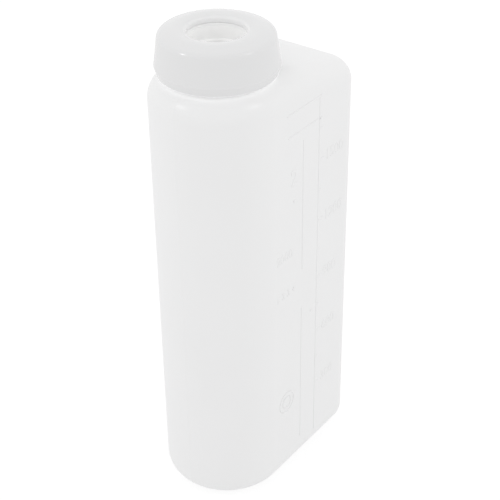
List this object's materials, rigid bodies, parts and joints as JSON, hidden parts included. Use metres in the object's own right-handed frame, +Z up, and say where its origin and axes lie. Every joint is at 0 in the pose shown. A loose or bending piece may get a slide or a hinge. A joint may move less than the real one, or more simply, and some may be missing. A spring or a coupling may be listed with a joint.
{
  "type": "calf feeding bottle",
  "caption": "Oblong blow-moulded feeding bottle with a screw collar that clamps a rubber teat stored tip-down in the neck.",
  "frame": {"origin": "on the surface the bottle stands on, under the middle of its length and width", "axes": "+X from the neck end towards the flat back, +Z up along the neck, +Y across the flat sides with the raised scale on the -Y side"},
  "size_m": [0.1186, 0.0748, 0.2909],
  "materials": {
    "bottle_body": "satin white polyethylene",
    "screw_collar": "satin white polypropylene",
    "clamp_washer": "smooth white",
    "teat": "milky white silicone rubber",
    "vent_bush": "smooth white",
    "vent_ball": "polished"
  },
  "bodies": {
    "bottle": {"bottle_body": "bottle_body"},
    "closure": {"clamp_washer": "clamp_washer", "teat": "teat", "vent_bush": "vent_bush"},
    "collar": {"screw_collar": "screw_collar"},
    "vent": {"vent_ball": "vent_ball"}
  },
  "joints": [
    {"name": "closure_rise", "type": "slide", "parent": "bottle", "child": "closure", "axis": [0, 0, 1], "range_m": [0, 0.0901]},
    {"name": "collar_turn", "type": "hinge", "parent": "closure", "child": "collar", "pos_m": [-0.02215, 0, 0.279], "axis": [0, 0, 1], "range_deg": [0, 3600]},
    {"name": "vent_ball_travel", "type": "slide", "parent": "closure", "child": "vent", "axis": [0, 0, 1], "range_m": [0, 0.0014]}
  ],
  "couplings": [
    {"joint": "closure_rise", "follows": "collar_turn", "m_per_rad": 0.0014324}
  ]
}
